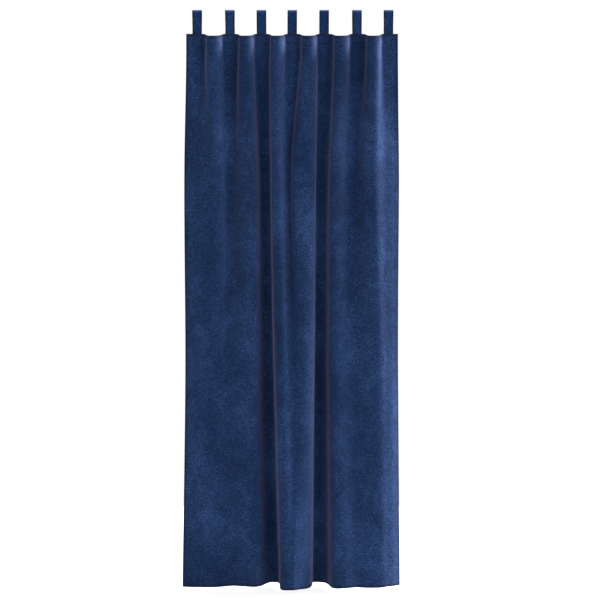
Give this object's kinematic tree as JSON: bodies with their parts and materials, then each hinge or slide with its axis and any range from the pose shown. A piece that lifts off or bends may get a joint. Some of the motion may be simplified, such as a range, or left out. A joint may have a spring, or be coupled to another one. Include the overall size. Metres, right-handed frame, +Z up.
{
  "type": "tab-top velvet curtain panel",
  "caption": "Single drape of dark blue velvet hanging in soft uneven folds, with loops along its top edge that thread onto a curtain rod.",
  "frame": {"origin": "on the centre line of the curtain rod that the loops hang on, at the middle of the curtain's width", "axes": "+X to the viewer's right along the rod, +Y towards the wall or window behind, +Z up; the pile side faces -Y"},
  "size_m": [1.058, 0.1632, 2.8041],
  "materials": {
    "panel_velvet": "dark blue crushed velvet pile on its face and its turned hems, with a flat woven ground on its back",
    "tab_velvet": "the same dark blue velvet, sewn as flat tubes",
    "thread": "matching navy sewing thread"
  },
  "bodies": {
    "root": {"panel": "panel_velvet", "tab_1": "tab_velvet", "tab_2": "tab_velvet", "tab_3": "tab_velvet", "tab_4": "tab_velvet", "tab_5": "tab_velvet", "tab_6": "tab_velvet", "tab_7": "tab_velvet"}
  },
  "joints": []
}
